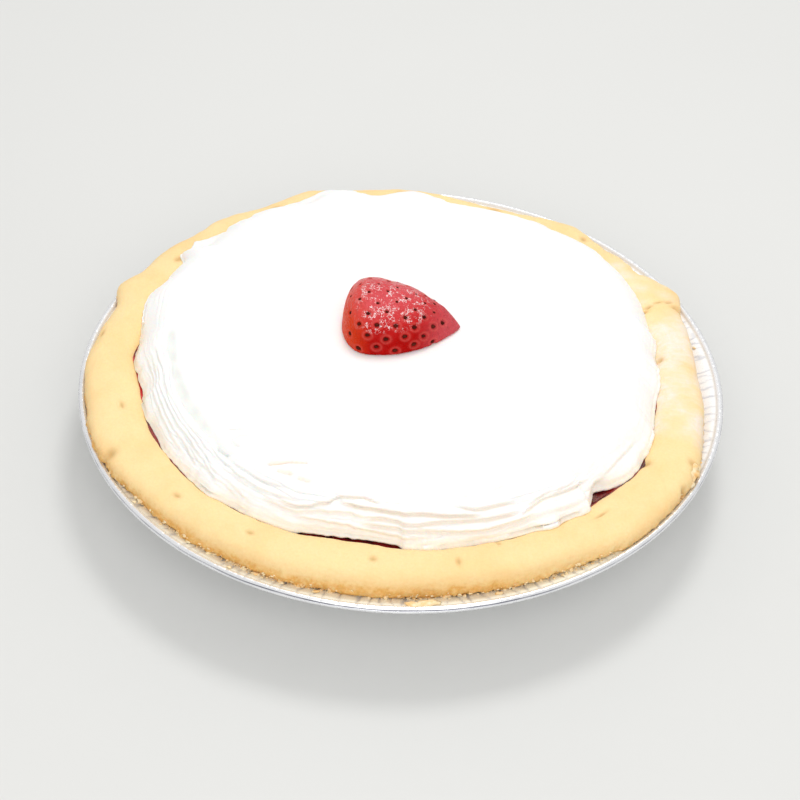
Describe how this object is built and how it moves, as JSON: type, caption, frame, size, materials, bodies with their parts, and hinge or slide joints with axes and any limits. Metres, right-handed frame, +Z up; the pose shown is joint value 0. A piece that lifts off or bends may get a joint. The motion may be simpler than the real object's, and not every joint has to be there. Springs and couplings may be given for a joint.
{
  "type": "strawberry cream tart",
  "caption": "Whole round strawberry tart in a pleated foil tin: pastry shell, jellied filling, whipped cream topping and a halved strawberry.",
  "frame": {"origin": "centre of the tin's flat base, which stands on z = 0", "axes": "+Z up; the pictured front of the tart faces -Y; +X is to the picture's right"},
  "size_m": [0.23, 0.23, 0.0661],
  "materials": {
    "foil": "bright crinkled household foil with a rolled rim",
    "crust": "pale golden baked shortcrust, matt, browned and crumbly at its lower edge",
    "filling": "dark red jellied strawberry, wet gloss",
    "cream": "soft white whipped cream, combed at the side and spread smooth on top",
    "strawberry": "wet red strawberry skin with dark sunken seeds"
  },
  "bodies": {
    "root": {"foil_tin": "foil", "pastry_crust": "crust", "strawberry_filling": "filling", "whipped_cream": "cream", "strawberry_half": "strawberry"}
  },
  "joints": []
}
